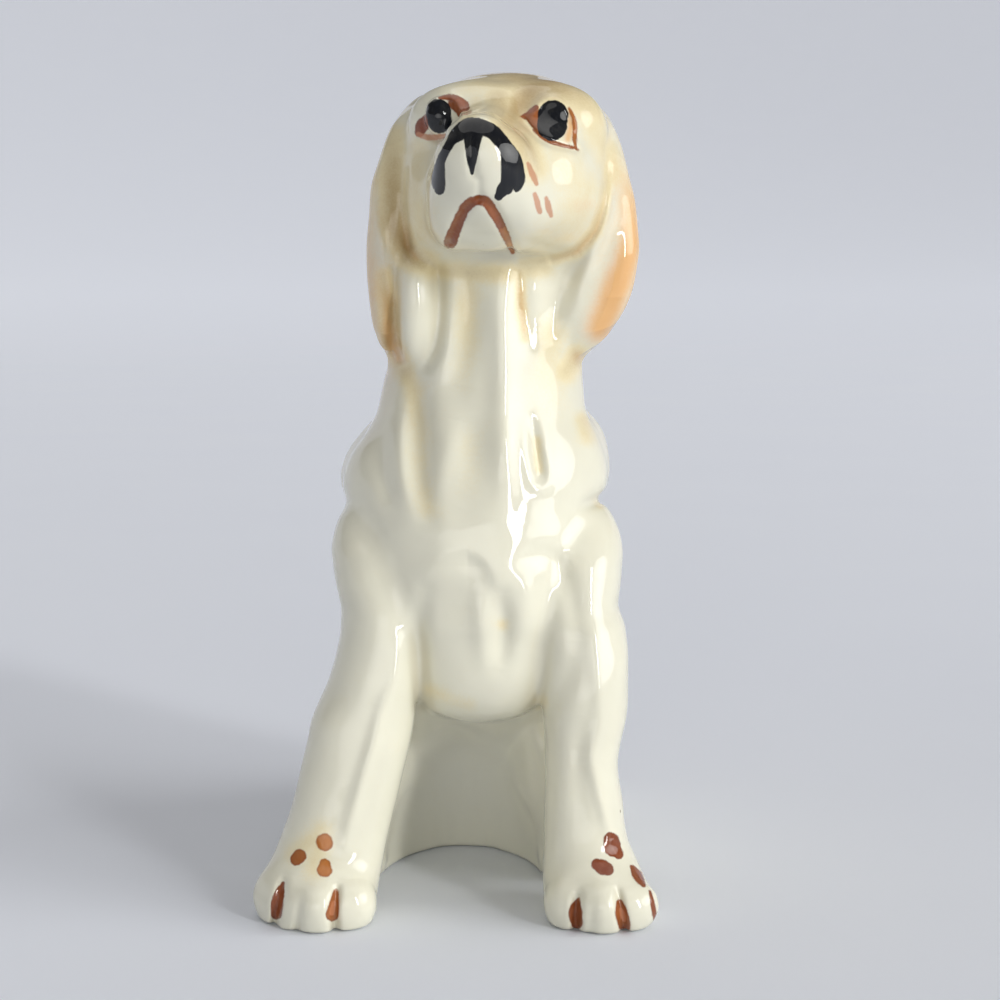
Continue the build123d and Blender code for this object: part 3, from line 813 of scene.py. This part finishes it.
def glaze_material():
    m = Nodes("painted_glaze")
    cloud, fine, spray, grain = m.noise(9, 3), m.noise(1.6, 3), m.noise(0.22, 2, 0.7), m.noise(0.5, 4, 0.6, (1, 1, 0.35))
    # body under the glaze
    body = m.mix(m.ramp(cloud, 0.35, 0.65), (0.84, 0.815, 0.665), (0.80, 0.775, 0.635))
    # painted shade, partly glaze pooling: darker, browner glaze wherever the surface is closed in
    cav = m.attr("glaze_pool_and_shade")
    body = m.mix(m.math("MULTIPLY", m.ramp(cav, 0.05, 0.9), 0.42), body, (0.64, 0.575, 0.41))
    # painted light: the glaze is made whiter between the legs, where the groin lies in shade
    body = m.mix(m.math("MULTIPLY", m.attr("groin_painted_light"), 0.9), body, (0.93, 0.92, 0.83))
    # sprayed tan and orange paint; the tan mask also holds painted shade under the chin, in the valleys of the neck
    # and under the breast
    tan = m.math("MULTIPLY_ADD", m.math("SUBTRACT", spray, 0.5), 0.22, m.attr("tan"))
    tan = m.math("MULTIPLY_ADD", m.math("SUBTRACT", fine, 0.5), 0.18, tan)
    body = m.mix(m.ramp(tan, 0.0, 0.45), body, (0.84, 0.735, 0.47))
    body = m.mix(m.ramp(tan, 0.25, 1.15), body, (0.44, 0.305, 0.135))
    orange = m.math("MULTIPLY_ADD", m.math("SUBTRACT", spray, 0.5), 0.2, m.attr("orange"))
    orange = m.math("MULTIPLY_ADD", m.math("SUBTRACT", fine, 0.5), 0.2, orange)
    body = m.mix(m.ramp(orange, 0.0, 1.05), body, (0.82, 0.47, 0.20))
    # brush strokes: distance to the edge of the paint, in thousandths of the picture
    edge = m.math("MULTIPLY", m.math("SUBTRACT", grain, 0.5), 3.2)
    rust = m.ramp(m.math("ADD", m.attr("rust"), edge), 0.9, -0.9)
    thin = m.ramp(grain, 0.32, 0.68, 0.965, 1.0)
    warm = m.mix(m.attr("warmth"), m.mix(fine, (0.29, 0.068, 0.024), (0.17, 0.036, 0.013)), m.mix(fine, (0.62, 0.24, 0.055), (0.45, 0.145, 0.03)))
    warm = m.mix(m.ramp(m.attr("rust"), -3.2, -0.6, 0.0, 0.35), warm, (0.17, 0.04, 0.012))
    body = m.mix(m.math("MULTIPLY", rust, thin), body, warm)
    # pale paint, and painted glints inside two toe marks
    pale_paint_and_glint = m.ramp(m.math("ADD", m.attr("pale_paint_and_glint"), edge), 0.9, -0.9)
    body = m.mix(m.math("MULTIPLY", pale_paint_and_glint, 0.78), body, (0.56, 0.23, 0.115))
    ink = m.ramp(m.math("ADD", m.attr("ink"), edge), 0.7, -0.7)
    body = m.mix(m.math("MULTIPLY", ink, m.ramp(grain, 0.25, 0.6, 0.985, 1.0)), body, INK)
    # specks of iron in the clay
    v = m.t.nodes.new("ShaderNodeTexVoronoi")
    v.inputs["Scale"].default_value = 1000.0 / 5.5
    m.link(m.coord, v.inputs["Vector"])
    speck = m.math("MULTIPLY", m.ramp(v.outputs["Distance"], 0.035, 0.018), m.ramp(m.noise(4.0, 1), 0.5, 0.6))
    body = m.mix(m.math("MULTIPLY", speck, 0.6), body, (0.22, 0.15, 0.09))
    m.link(body, m.bsdf.inputs["Base Color"])
    m.link(m.ramp(m.math("ADD", m.math("MULTIPLY", fine, 0.6), m.math("MULTIPLY", ink, 0.25)), 0.2, 0.8, 0.16, 0.30), m.bsdf.inputs["Roughness"])
    m.bsdf.inputs["IOR"].default_value = 1.5
    m.bsdf.inputs["Specular IOR Level"].default_value = 0.0
    m.bsdf.inputs["Coat Weight"].default_value = 1.0
    m.bsdf.inputs["Coat Roughness"].default_value = 0.03
    m.bsdf.inputs["Coat IOR"].default_value = 1.52
    b = m.t.nodes.new("ShaderNodeBump")
    b.inputs["Strength"].default_value = 0.35
    b.inputs["Distance"].default_value = 0.00006
    relief = m.math("MULTIPLY_ADD", m.math("MAXIMUM", ink, rust), 0.35, m.math("MULTIPLY_ADD", m.noise(2.6, 1), 1.0, m.math("MULTIPLY", m.noise(0.7, 1), 0.18)))
    m.link(relief, b.inputs["Height"])
    m.link(b.outputs[0], m.bsdf.inputs["Normal"])
    m.link(b.outputs[0], m.bsdf.inputs["Coat Normal"])
    return m.mat


def biscuit_material(name, light, dark):
    m = Nodes(name)
    c = m.mix(m.ramp(m.noise(2.2, 4, 0.6), 0.3, 0.7), light, dark)
    c = m.mix(m.math("MULTIPLY", m.ramp(m.noise(0.35, 2), 0.62, 0.75), 0.5), c, (0.40, 0.34, 0.26))
    m.link(c, m.bsdf.inputs["Base Color"])
    m.link(m.ramp(m.noise(0.8, 3), 0.3, 0.7, 0.72, 0.92), m.bsdf.inputs["Roughness"])
    b = m.t.nodes.new("ShaderNodeBump")
    b.inputs["Strength"].default_value = 0.5
    b.inputs["Distance"].default_value = 0.00008
    m.link(m.noise(0.3, 4, 0.6), b.inputs["Height"])
    m.link(b.outputs[0], m.bsdf.inputs["Normal"])
    return m.mat


glaze = glaze_material()
biscuit = biscuit_material("bare_foot_rim", (0.74, 0.68, 0.56), (0.64, 0.57, 0.45))
slip = biscuit_material("fired_slip", (0.76, 0.72, 0.62), (0.70, 0.65, 0.54))

# ------------------------------------------------------------------ paint
FAR = 60.0
# brush strokes in front elevation: part, warmth of the colour (0 red-brown, 1 orange), points (u, v, half width)
INK_STROKES = [
    # eyes
    ("eye", 0.0, [(438.5, 111.5, 12.6), (439.5, 121, 12.2)]),
    ("eye_left", 0.0, [(553, 115.5, 15.4), (552, 126, 14.8)]),
    # nose: arch, left wing, the wedge in the middle, the two strokes of the right wing
    ("nose", 0.0, [(450, 143, 4.6), (457, 134.5, 7.4), (466, 128.5, 9.2), (475, 126.8, 9.6), (486, 128.3, 7.6), (496, 135, 7.6), (504, 145, 7.4), (509, 154, 7.0)]),
    ("nose", 0.0, [(452, 140, 5.0), (446, 150, 4.4), (441, 161, 4.6), (438.7, 172, 6.4), (438.3, 181, 7.2), (439.5, 189.5, 5.4)]),
    ("nose", 0.0, [(473, 136, 9.4), (472, 152, 6.4), (471.8, 164, 4.2), (472, 173, 2.0)]),
    ("nose", 0.0, [(508, 148, 6.0), (514.5, 158, 6.4), (518, 170, 6.6), (519, 180, 6.2), (517, 188, 4.0)]),
    ("nose", 0.0, [(503, 145, 5.4), (506, 157, 5.2), (506.5, 170, 5.6), (505.8, 182, 5.8), (502, 191, 6.2), (498.5, 196.5, 4.2)]),
    ("nose", 0.0, [(510, 156, 4.0), (512, 168, 5.0), (512, 180, 5.0), (508, 190, 4.5)]),
]
RUST_STROKES = [
    # lids and corners of the eyes
    ("eye", 0.1, [(440, 98, 1.8), (449, 97.5, 3.2), (458, 100.5, 4.6), (465, 105.5, 4.2), (464.5, 112, 3.2), (462, 118, 1.6)]),
    ("eye", 0.0, [(427, 117, 3.4), (422.5, 125, 6.6), (419.5, 132, 5.2)]),
    ("eye", 0.2, [(452, 104, 4.2), (458, 108, 5.2), (460.5, 114, 3.6)]),
    ("eye_left", 0.3, [(521, 116.5, 1.0), (528, 116.5, 4.8), (535, 118.5, 9.5)]),
    ("eye_left", 0.1, [(521, 116.5, 1.0), (528, 113.5, 2.4), (536, 107.5, 3.0)]),
    ("eye_left", 0.35, [(536, 130, 3.0), (544, 138, 2.8), (555, 143, 2.2), (566, 146, 1.8), (575, 148, 1.7), (579, 150.5, 0.8)]),
    ("eye_left", 0.7, [(568.5, 108, 1.2), (573.5, 117, 2.2), (575, 128, 2.4), (574.5, 139, 2.2), (576, 148, 1.2)]),
    # mouth
    ("mouth", 0.12, [(481, 200.5, 5.0), (473.5, 201.5, 5.2), (466, 207, 5.4), (459.5, 219, 5.6), (454, 232, 6.2), (450.5, 242, 6.8)]),
    ("mouth", 0.25, [(477, 200, 5.0), (485.5, 201.5, 5.4), (493, 211.5, 5.2), (501, 225.5, 4.6), (507.5, 240, 3.6), (512.5, 252, 1.8)]),
    ("mouth", 0.75, [(502.5, 228.5, 4.6), (507.5, 240, 3.9), (512.5, 252, 2.1)]),
    # paw spots
    ("paw", 0.9, [(324.5, 841.5, 8.2), (324.9, 843, 8.2)]), ("paw", 0.45, [(296.5, 859, 6.6), (299.5, 856, 6.8)]), ("paw", 0.85, [(325, 864, 5.6), (324.6, 869.5, 8.0)]),
    ("paw", 0.05, [(611, 840, 7.8), (613, 848, 9.0), (618.5, 854, 5.2)]), ("paw", 0.0, [(597, 864.5, 6.0), (602, 867, 7.6), (607.5, 869.5, 6.2)]),
    ("paw", 0.15, [(632, 867, 2.4), (637.5, 875.5, 5.2), (643.5, 885, 2.6)]),
    # between the toes
    ("paw", 0.1, [(283, 883.5, 2.0), (279.5, 893, 5.0), (277, 904, 6.6), (276.5, 914, 5.6)]),
    ("paw", 0.4, [(336, 891, 2.6), (335, 899, 4.2), (333.5, 907, 5.6), (332, 914.5, 6.8)]),
    ("paw", 0.15, [(578.5, 898.5, 1.5), (576, 906, 5.4), (575.5, 914.5, 7.0), (577, 923, 6.0)]),
    ("paw", 0.3, [(619.5, 902.5, 3.6), (621, 911, 6.0), (623, 920, 6.6), (624.5, 926, 6.0)]),
    ("paw", 0.1, [(650, 891, 1.0), (653, 906, 2.6), (655, 920, 2.0)]),
]
# pale strokes: the whisker dots and the stroke under the eye are pale paint; the two on the paws are painted
# highlights, glints inside toe marks
PALE_PAINT_AND_GLINT_STROKES = [
    ("mouth", 0.0, [(527.6, 163, 1.6), (532.5, 174, 3.2), (536.5, 184, 1.8)]), ("mouth", 0.0, [(534.7, 194, 2.0), (537.2, 203, 3.2), (539.8, 212, 2.2)]),
    ("mouth", 0.0, [(546, 198, 2.0), (548.5, 207, 3.2), (551, 215.5, 2.0)]), ("eye", 0.0, [(418, 134.5, 2.4), (430, 137.5, 3.0), (446, 136.0, 2.4)]),
    # painted highlights: glints inside the toe marks
    ("paw", 0.0, [(334, 902, 1.6), (333, 908, 2.8), (331.5, 913, 2.6)]), ("paw", 0.0, [(621, 909, 1.6), (622.5, 915, 3.0), (624, 920, 2.0)]),
]
# how far forward and back the brush reached on each part, y, and the span of z
REACH = {"eye": (-14.0, -6.5, 56, 80), "eye_left": (-19.0, -6.0, 56, 80), "nose": (-30, -16.2, 56, 80), "mouth": (-30, -9.0, 56, 80), "paw": (-30, -10.5, -1, 14)}
INK_STROKES, RUST_STROKES, PALE_PAINT_AND_GLINT_STROKES = ([(a, b, curve(c)) for a, b, c in k] for k in (INK_STROKES, RUST_STROKES, PALE_PAINT_AND_GLINT_STROKES))
# sprayed patches in front elevation: points (u, v, strength), spread, fade depth
TAN_AND_SHADE_SPRAY = [
    # crown, forehead and bridge of the nose
    ([(450, 88, 0.15), (485, 78, 0.5), (515, 75, 0.78), (550, 82, 0.85), (578, 96, 0.65), (600, 118, 0.45)], 18, 6),
    ([(545, 84, 0.85), (530, 92, 0.92), (521, 104, 0.95), (512, 118, 0.85), (506, 126, 0.65)], 18, -2),
    ([(500, 100, 0.68), (512, 126, 0.75), (524, 146, 0.68), (535, 168, 0.45)], 18, -4),
    ([(478, 104, 0.35), (466, 118, 0.35)], 12, -4),
    ([(590, 115, 0.4), (604, 145, 0.4), (614, 175, 0.4)], 17, 0),
    # thin yellow wash of the cheeks
    ([(560, 160, 0.26), (586, 190, 0.3), (574, 226, 0.32), (545, 246, 0.3)], 26, -2),
    ([(418, 150, 0.3), (412, 190, 0.35), (422, 235, 0.35)], 20, -2),
    # ear creases: tan paint; the stronger tan on the left ear is partly painted shade
    ([(607, 150, 0.3), (607, 180, 0.5), (603, 205, 0.55), (595, 231, 0.65), (577, 251, 0.65), (552, 260, 0.5), (522, 264, 0.4)], 8, -2),
    ([(394, 135, 0.45), (392, 180, 0.75), (395, 225, 0.85), (408, 254, 0.85), (430, 266, 0.5)], 15, 0),
    ([(384, 276, 0.5), (388, 305, 0.95), (390, 340, 1.05), (400, 360, 0.7)], 10, 0),
    # under the chin and down the neck: painted shadow under the chin and painted shade in the valleys of the neck,
    # with some tan paint
    ([(438, 268, 0.4), (470, 273, 0.5), (505, 273, 0.45), (545, 268, 0.4)], 12, -2),
    ([(520, 272, 0.6), (521, 305, 0.75), (525, 338, 0.5)], 6, -2),
    ([(468, 285, 0.36), (467, 340, 0.32), (462, 380, 0.15)], 14, -2),
    ([(405, 372, 0.5), (414, 392, 0.4), (419, 430, 0.26), (421, 470, 0.22), (428, 508, 0.3)], 12, -2),
    ([(470, 440, 0.14), (469, 480, 0.14)], 16, -2),
    ([(577, 358, 0.7), (566, 372, 0.5)], 14, 1), ([(583, 420, 0.42), (588, 438, 0.36)], 10, 1), ([(600, 503, 0.4)], 7, 2), ([(552, 335, 0.35), (548, 400, 0.2)], 20, -2),
    ([(537, 440, 0.4), (539, 470, 0.4)], 5, -2),
    ([(298, 852, 0.35), (322, 832, 0.35), (314, 868, 0.35)], 14, -11),
    # painted shade in the dimple of the breast and along the underside of the breast
    ([(503, 625, 0.35)], 7, -8), ([(430, 690, 0.25), (470, 706, 0.2)], 9, -8), ([(540, 702, 0.3)], 9, -6),
]
ORANGE_SPRAY = [
    ([(622, 165, 0.25), (632, 200, 0.65), (634, 240, 0.9), (624, 268, 1.0), (613, 296, 1.05), (601, 328, 1.0)], 17, 2),
    ([(604, 200, 0.15), (596, 231, 0.35), (577, 251, 0.4), (556, 258, 0.2)], 5, -2),
    ([(580, 206, 0.3), (590, 204, 0.25)], 9, -3), ([(569, 113, 0.5), (571, 126, 0.8), (568, 139, 0.75)], 4.5, -4),
    ([(384, 300, 0.35), (388, 335, 0.55), (398, 358, 0.5)], 9, -1),
    ([(403, 215, 0.2), (407, 245, 0.35), (416, 258, 0.35)], 5, -2),
    ([(578, 356, 0.35)], 9, 0), ([(521, 290, 0.35), (524, 330, 0.35)], 4, -2),
]
SPINE = [(4.6, -3.0, 76.0), (4.6, 4.0, 75.0), (4.4, 9.2, 69.0), (3.8, 9.0, 60.0), (2.8, 8.8, 52.0), (2.2, 10.2, 44.0), (1.8, 13.2, 35.0),
         (1.5, 17.2, 25.0), (1.2, 21.4, 16.0), (0.9, 24.2, 8.0), (2.5, 27.0, 6.0), (8.0, 27.8, 5.0)]


def paint(p, nrm):
    """Paint on the surface points p with outward normals nrm."""
    u, v = elevation(p)
    way = np.asarray(EYE, f32) - p
    way /= np.linalg.norm(way, axis=1)[:, None]
    facing = (nrm * way).sum(1)
    y, z = p[:, 1], p[:, 2]

    def strokes(todo, warmth=None):
        out = np.full(len(p), FAR, f32)
        for part, tone, pts in todo:
            us, vs, rs = zip(*pts)
            m = max(rs) + 25
            y0, y1, z0, z1 = REACH[part]
            sel = np.nonzero((facing > 0.05) & (u > min(us) - m) & (u < max(us) + m) & (v > min(vs) - m) & (v < max(vs) + m)
                             & (y > y0) & (y < y1) & (z > z0) & (z < z1))[0]
            if len(sel):
                gap, r = line_gap(u[sel], v[sel], pts)
                if warmth is not None:
                    warmth[sel] = np.where(gap - r < out[sel], tone, warmth[sel])
                out[sel] = np.minimum(out[sel], gap - r)
        return out

    def spray(todo):
        out = np.zeros(len(p), f32)
        for pts, spread, fade in todo:
            us, vs, _ = zip(*pts)
            m = 3.2 * spread
            sel = np.nonzero((u > min(us) - m) & (u < max(us) + m) & (v > min(vs) - m) & (v < max(vs) + m) & (p[:, 1] < fade + 3))[0]
            if len(sel):
                gap, a = line_gap(u[sel], v[sel], pts)
                soft = np.clip((fade + 3 - p[sel, 1]) / 5, 0, 1) * np.clip(facing[sel] * 3 + 0.6, 0, 1)
                out[sel] = np.maximum(out[sel], a * soft * np.exp(-((gap / spread) ** 2)))
        return out

    def blob(c, r, s):
        q = (p - np.asarray(c, f32)) / np.asarray(r, f32)
        return s * np.exp(-(q * q).sum(1))

    tan, orange = spray(TAN_AND_SHADE_SPRAY), spray(ORANGE_SPRAY)
    # crown of the head, back of the neck, spine and tail
    gap = np.full(len(p), 99.0, f32)
    for a, b in zip(SPINE[:-1], SPINE[1:]):
        gap = np.minimum(gap, cone(p, a, b, 0.0, 0.0))
    tan = np.maximum(tan, 0.72 * np.exp(-((gap / 6.2) ** 2)))
    tan = np.maximum(tan, blob((4.8, 0.0, 77.5), (8.5, 10.0, 4.5), 0.72))
    # ears: orange low on the flap, tan above
    for c, r, a in (((17.0, -1.5, 56.5), (3.8, 7.5, 9.5), 1.1), ((-8.8, -1.5, 56.0), (3.6, 7.5, 9.5), 1.0)):
        orange = np.maximum(orange, blob(c, r, a))
    for c, r, a in (((16.0, -0.5, 66.0), (4.0, 7.0, 8.0), 0.45), ((-7.6, -0.5, 66.0), (4.0, 7.0, 8.0), 0.55)):
        tan = np.maximum(tan, blob(c, r, a))
    warmth = np.zeros(len(p), f32)
    # the blob between the hind legs is painted light, a whiter patch in the shaded groin
    return {"ink": strokes(INK_STROKES), "rust": strokes(RUST_STROKES, warmth), "warmth": warmth, "pale_paint_and_glint": strokes(PALE_PAINT_AND_GLINT_STROKES), "tan": tan, "orange": orange, "groin_painted_light": blob((0.3, 1.0, 7.0), (9.0, 7.5, 10.0), 1.0)}


# ------------------------------------------------------------------ objects


def build(name, V, T):
    """Closed mesh of one casting: glazed skin plus flat joint faces."""
    used, inv = np.unique(T, return_inverse=True)
    T = inv.reshape(T.shape)
    P = V[used]
    _, N = slope(P)
    N /= np.linalg.norm(N, axis=1)[:, None] + 1e-9
    skin = len(T)
    caps, extra = [], []
    for loop in rims(T):
        mid = len(P) + len(extra)
        extra.append(P[loop].mean(0))
        caps += [(loop[(i + 1) % len(loop)], loop[i], mid) for i in range(len(loop))]
    if extra:
        T = np.concatenate([T, np.array(caps)])
        allP = np.concatenate([P, np.array(extra, f32)])
        allN = np.concatenate([N, np.zeros((len(extra), 3), f32)])
    else:
        allP, allN = P, N
    me = bpy.data.meshes.new(name)
    me.vertices.add(len(allP))
    me.vertices.foreach_set("co", ((allP + SHIFT) * 0.001).astype(f32).ravel())
    me.loops.add(len(T) * 3)
    me.loops.foreach_set("vertex_index", T.astype(np.int32).ravel())
    me.polygons.add(len(T))
    me.polygons.foreach_set("loop_start", np.arange(0, len(T) * 3, 3, dtype=np.int32))
    flat = np.zeros(len(T), bool)
    flat[skin:] = True
    bare = np.zeros(len(T), bool)
    bare[:skin] = (allP[T[:skin], 2] < 0.03).all(1)
    me.materials.append(glaze)
    me.materials.append(biscuit)
    me.polygons.foreach_set("material_index", (bare | flat).astype(np.int32))
    me.update(calc_edges=True)
    me.polygons.foreach_set("use_smooth", ~flat)
    a, b, c = (allP[T[:, i]] for i in range(3))
    fn = np.cross(b - a, c - a)
    fn /= np.linalg.norm(fn, axis=1)[:, None] + 1e-12
    ln = allN[T]
    ln[flat | bare] = fn[flat | bare][:, None, :]
    me.normals_split_custom_set(ln.reshape(-1, 3).tolist())
    data = paint(P, N)
    # painted shade with glaze pooling: how closed in each point is, from the field 1 and 2.2 mm off the surface
    out1 = chunks(field, (P + 1.0 * N).astype(f32))
    out2 = chunks(field, (P + 2.2 * N).astype(f32))
    data["glaze_pool_and_shade"] = np.clip(np.maximum(1.0 - out1 / 1.0, (1.0 - out2 / 2.2) * 0.8) * 1.3 - 0.08, 0, 1)
    # less painted shade where the groin is painted lighter
    data["glaze_pool_and_shade"] *= 1.0 - 0.8 * data["groin_painted_light"]
    for key, vals in data.items():
        at = me.attributes.new(key, "FLOAT", "POINT")
        fill = np.zeros(len(allP), f32) if key in ("tan", "orange", "glaze_pool_and_shade", "warmth", "groin_painted_light") else np.full(len(allP), FAR, f32)
        fill[:len(P)] = vals
        at.data.foreach_set("value", fill)
    me.validate()
    ob = bpy.data.objects.new(name + "_glazed", me)
    bpy.context.scene.collection.objects.link(ob)
    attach(ob, "root")
    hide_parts(name)
    return ob


for name, (V, T) in pieces.items():
    build(name, V, T)
for name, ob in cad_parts.items():
    if name.endswith("slip_joint"):
        ob.data.materials.clear()
        ob.data.materials.append(slip)

# ------------------------------------------------------------------ stage, light, camera
scene = bpy.context.scene


def sweep():
    """Pale floor that rises gently into a backdrop all round; further out it glows a little, painted light that
    brightens the backdrop.
    """
    radii = [0.1, 0.3, 0.6, 1.0] + [1.0 + 0.125 * i for i in range(1, 41)]
    n = 96
    vs, fs = [(0.0, 0.0, 0.0)], []
    for r in radii:
        z = 1.9 * (max(r - 1.0, 0.0) / 5.0) ** 2.2
        vs += [(r * math.cos(6.2831853 * i / n), r * math.sin(6.2831853 * i / n), z) for i in range(n)]
    for i in range(n):
        k = (i + 1) % n
        fs.append((0, 1 + i, 1 + k))
        for j in range(len(radii) - 1):
            a = 1 + j * n
            fs.append((a + i, a + n + i, a + n + k, a + k))
    me = bpy.data.meshes.new("floor")
    me.from_pydata(vs, [], fs)
    me.polygons.foreach_set("use_smooth", [True] * len(fs))
    ob = bpy.data.objects.new("floor", me)
    scene.collection.objects.link(ob)
    m = Nodes("floor_paper")
    c = m.mix(m.noise(60, 2), (0.78, 0.81, 0.89), (0.80, 0.83, 0.905))
    m.link(c, m.bsdf.inputs["Base Color"])
    m.bsdf.inputs["Roughness"].default_value = 0.9
    m.bsdf.inputs["Specular IOR Level"].default_value = 0.1
    far = m.t.nodes.new("ShaderNodeVectorMath")
    far.operation = "LENGTH"
    m.link(m.coord, far.inputs[0])
    glow = m.math("POWER", m.math("DIVIDE", far.outputs["Value"], 1.8, clamp=True), 0.7)
    # less of the painted glow on the side of the lamps
    way, lamps = m.t.nodes.new("ShaderNodeVectorMath"), m.t.nodes.new("ShaderNodeVectorMath")
    way.operation, lamps.operation = "NORMALIZE", "DOT_PRODUCT"
    m.link(m.coord, way.inputs[0])
    m.link(way.outputs["Vector"], lamps.inputs[0])
    lamps.inputs[1].default_value = (0.76, -0.65, 0.0)
    glow = m.math("MULTIPLY", glow, m.ramp(lamps.outputs["Value"], 0.55, -0.3))
    # painted light: the floor glows, more so further out
    m.link(c, m.bsdf.inputs["Emission Color"])
    m.link(m.math("MULTIPLY", glow, 0.31), m.bsdf.inputs["Emission Strength"])
    me.materials.append(m.mat)


def softbox(name, at, aim, size, power, color, shape="ELLIPSE", spread=math.pi):
    l = bpy.data.lights.new(name, "AREA")
    l.shape = shape
    l.size, l.size_y = size
    l.energy = power
    l.color = color
    l.spread = spread
    o = bpy.data.objects.new(name, l)
    o.location = at
    o.rotation_euler = (Vector(aim) - Vector(at)).to_track_quat("-Z", "Y").to_euler()
    o.visible_camera = False
    scene.collection.objects.link(o)


sweep()
softbox("window", (1.7, -1.9, 0.95), (0.0, 0.0, 0.045), (0.26, 1.5), 3.5, (1.0, 1.0, 0.98), "RECTANGLE", 1.15)
softbox("wall", (2.7, -0.8, 1.15), (0.0, 0.0, 0.045), (2.7, 2.2), 11.7, (1.0, 1.0, 0.98), "ELLIPSE", 1.35)
softbox("front", (-0.2, -2.5, 0.62), (0.0, 0.0, 0.03), (2.6, 1.0), 1.85, (1.0, 0.99, 0.97), "ELLIPSE", 1.35)
softbox("top", (-0.67, 0.9, 6.0), (-0.2, 0.6, 0.0), (8.4, 8.4), 122.0, (1.0, 0.985, 0.955))

world = bpy.data.worlds.new("studio")
scene.world = world
world.use_nodes = True
bg = world.node_tree.nodes["Background"]
bg.inputs["Color"].default_value = (0.97, 0.95, 0.93, 1)
bg.inputs["Strength"].default_value = 0.15

cam = bpy.data.cameras.new("camera")
cam.sensor_width = 36.0
cam.lens = 36.0 * FOCAL / 1000.0
cam.clip_start = 0.005
ob = bpy.data.objects.new("camera", cam)
ob.location = [(EYE[i] + SHIFT[i]) * 0.001 for i in range(3)]
ob.rotation_euler = (math.pi / 2 - TILT, 0.0, 0.0)
scene.collection.objects.link(ob)
scene.camera = ob
scene.view_settings.view_transform = "Standard"
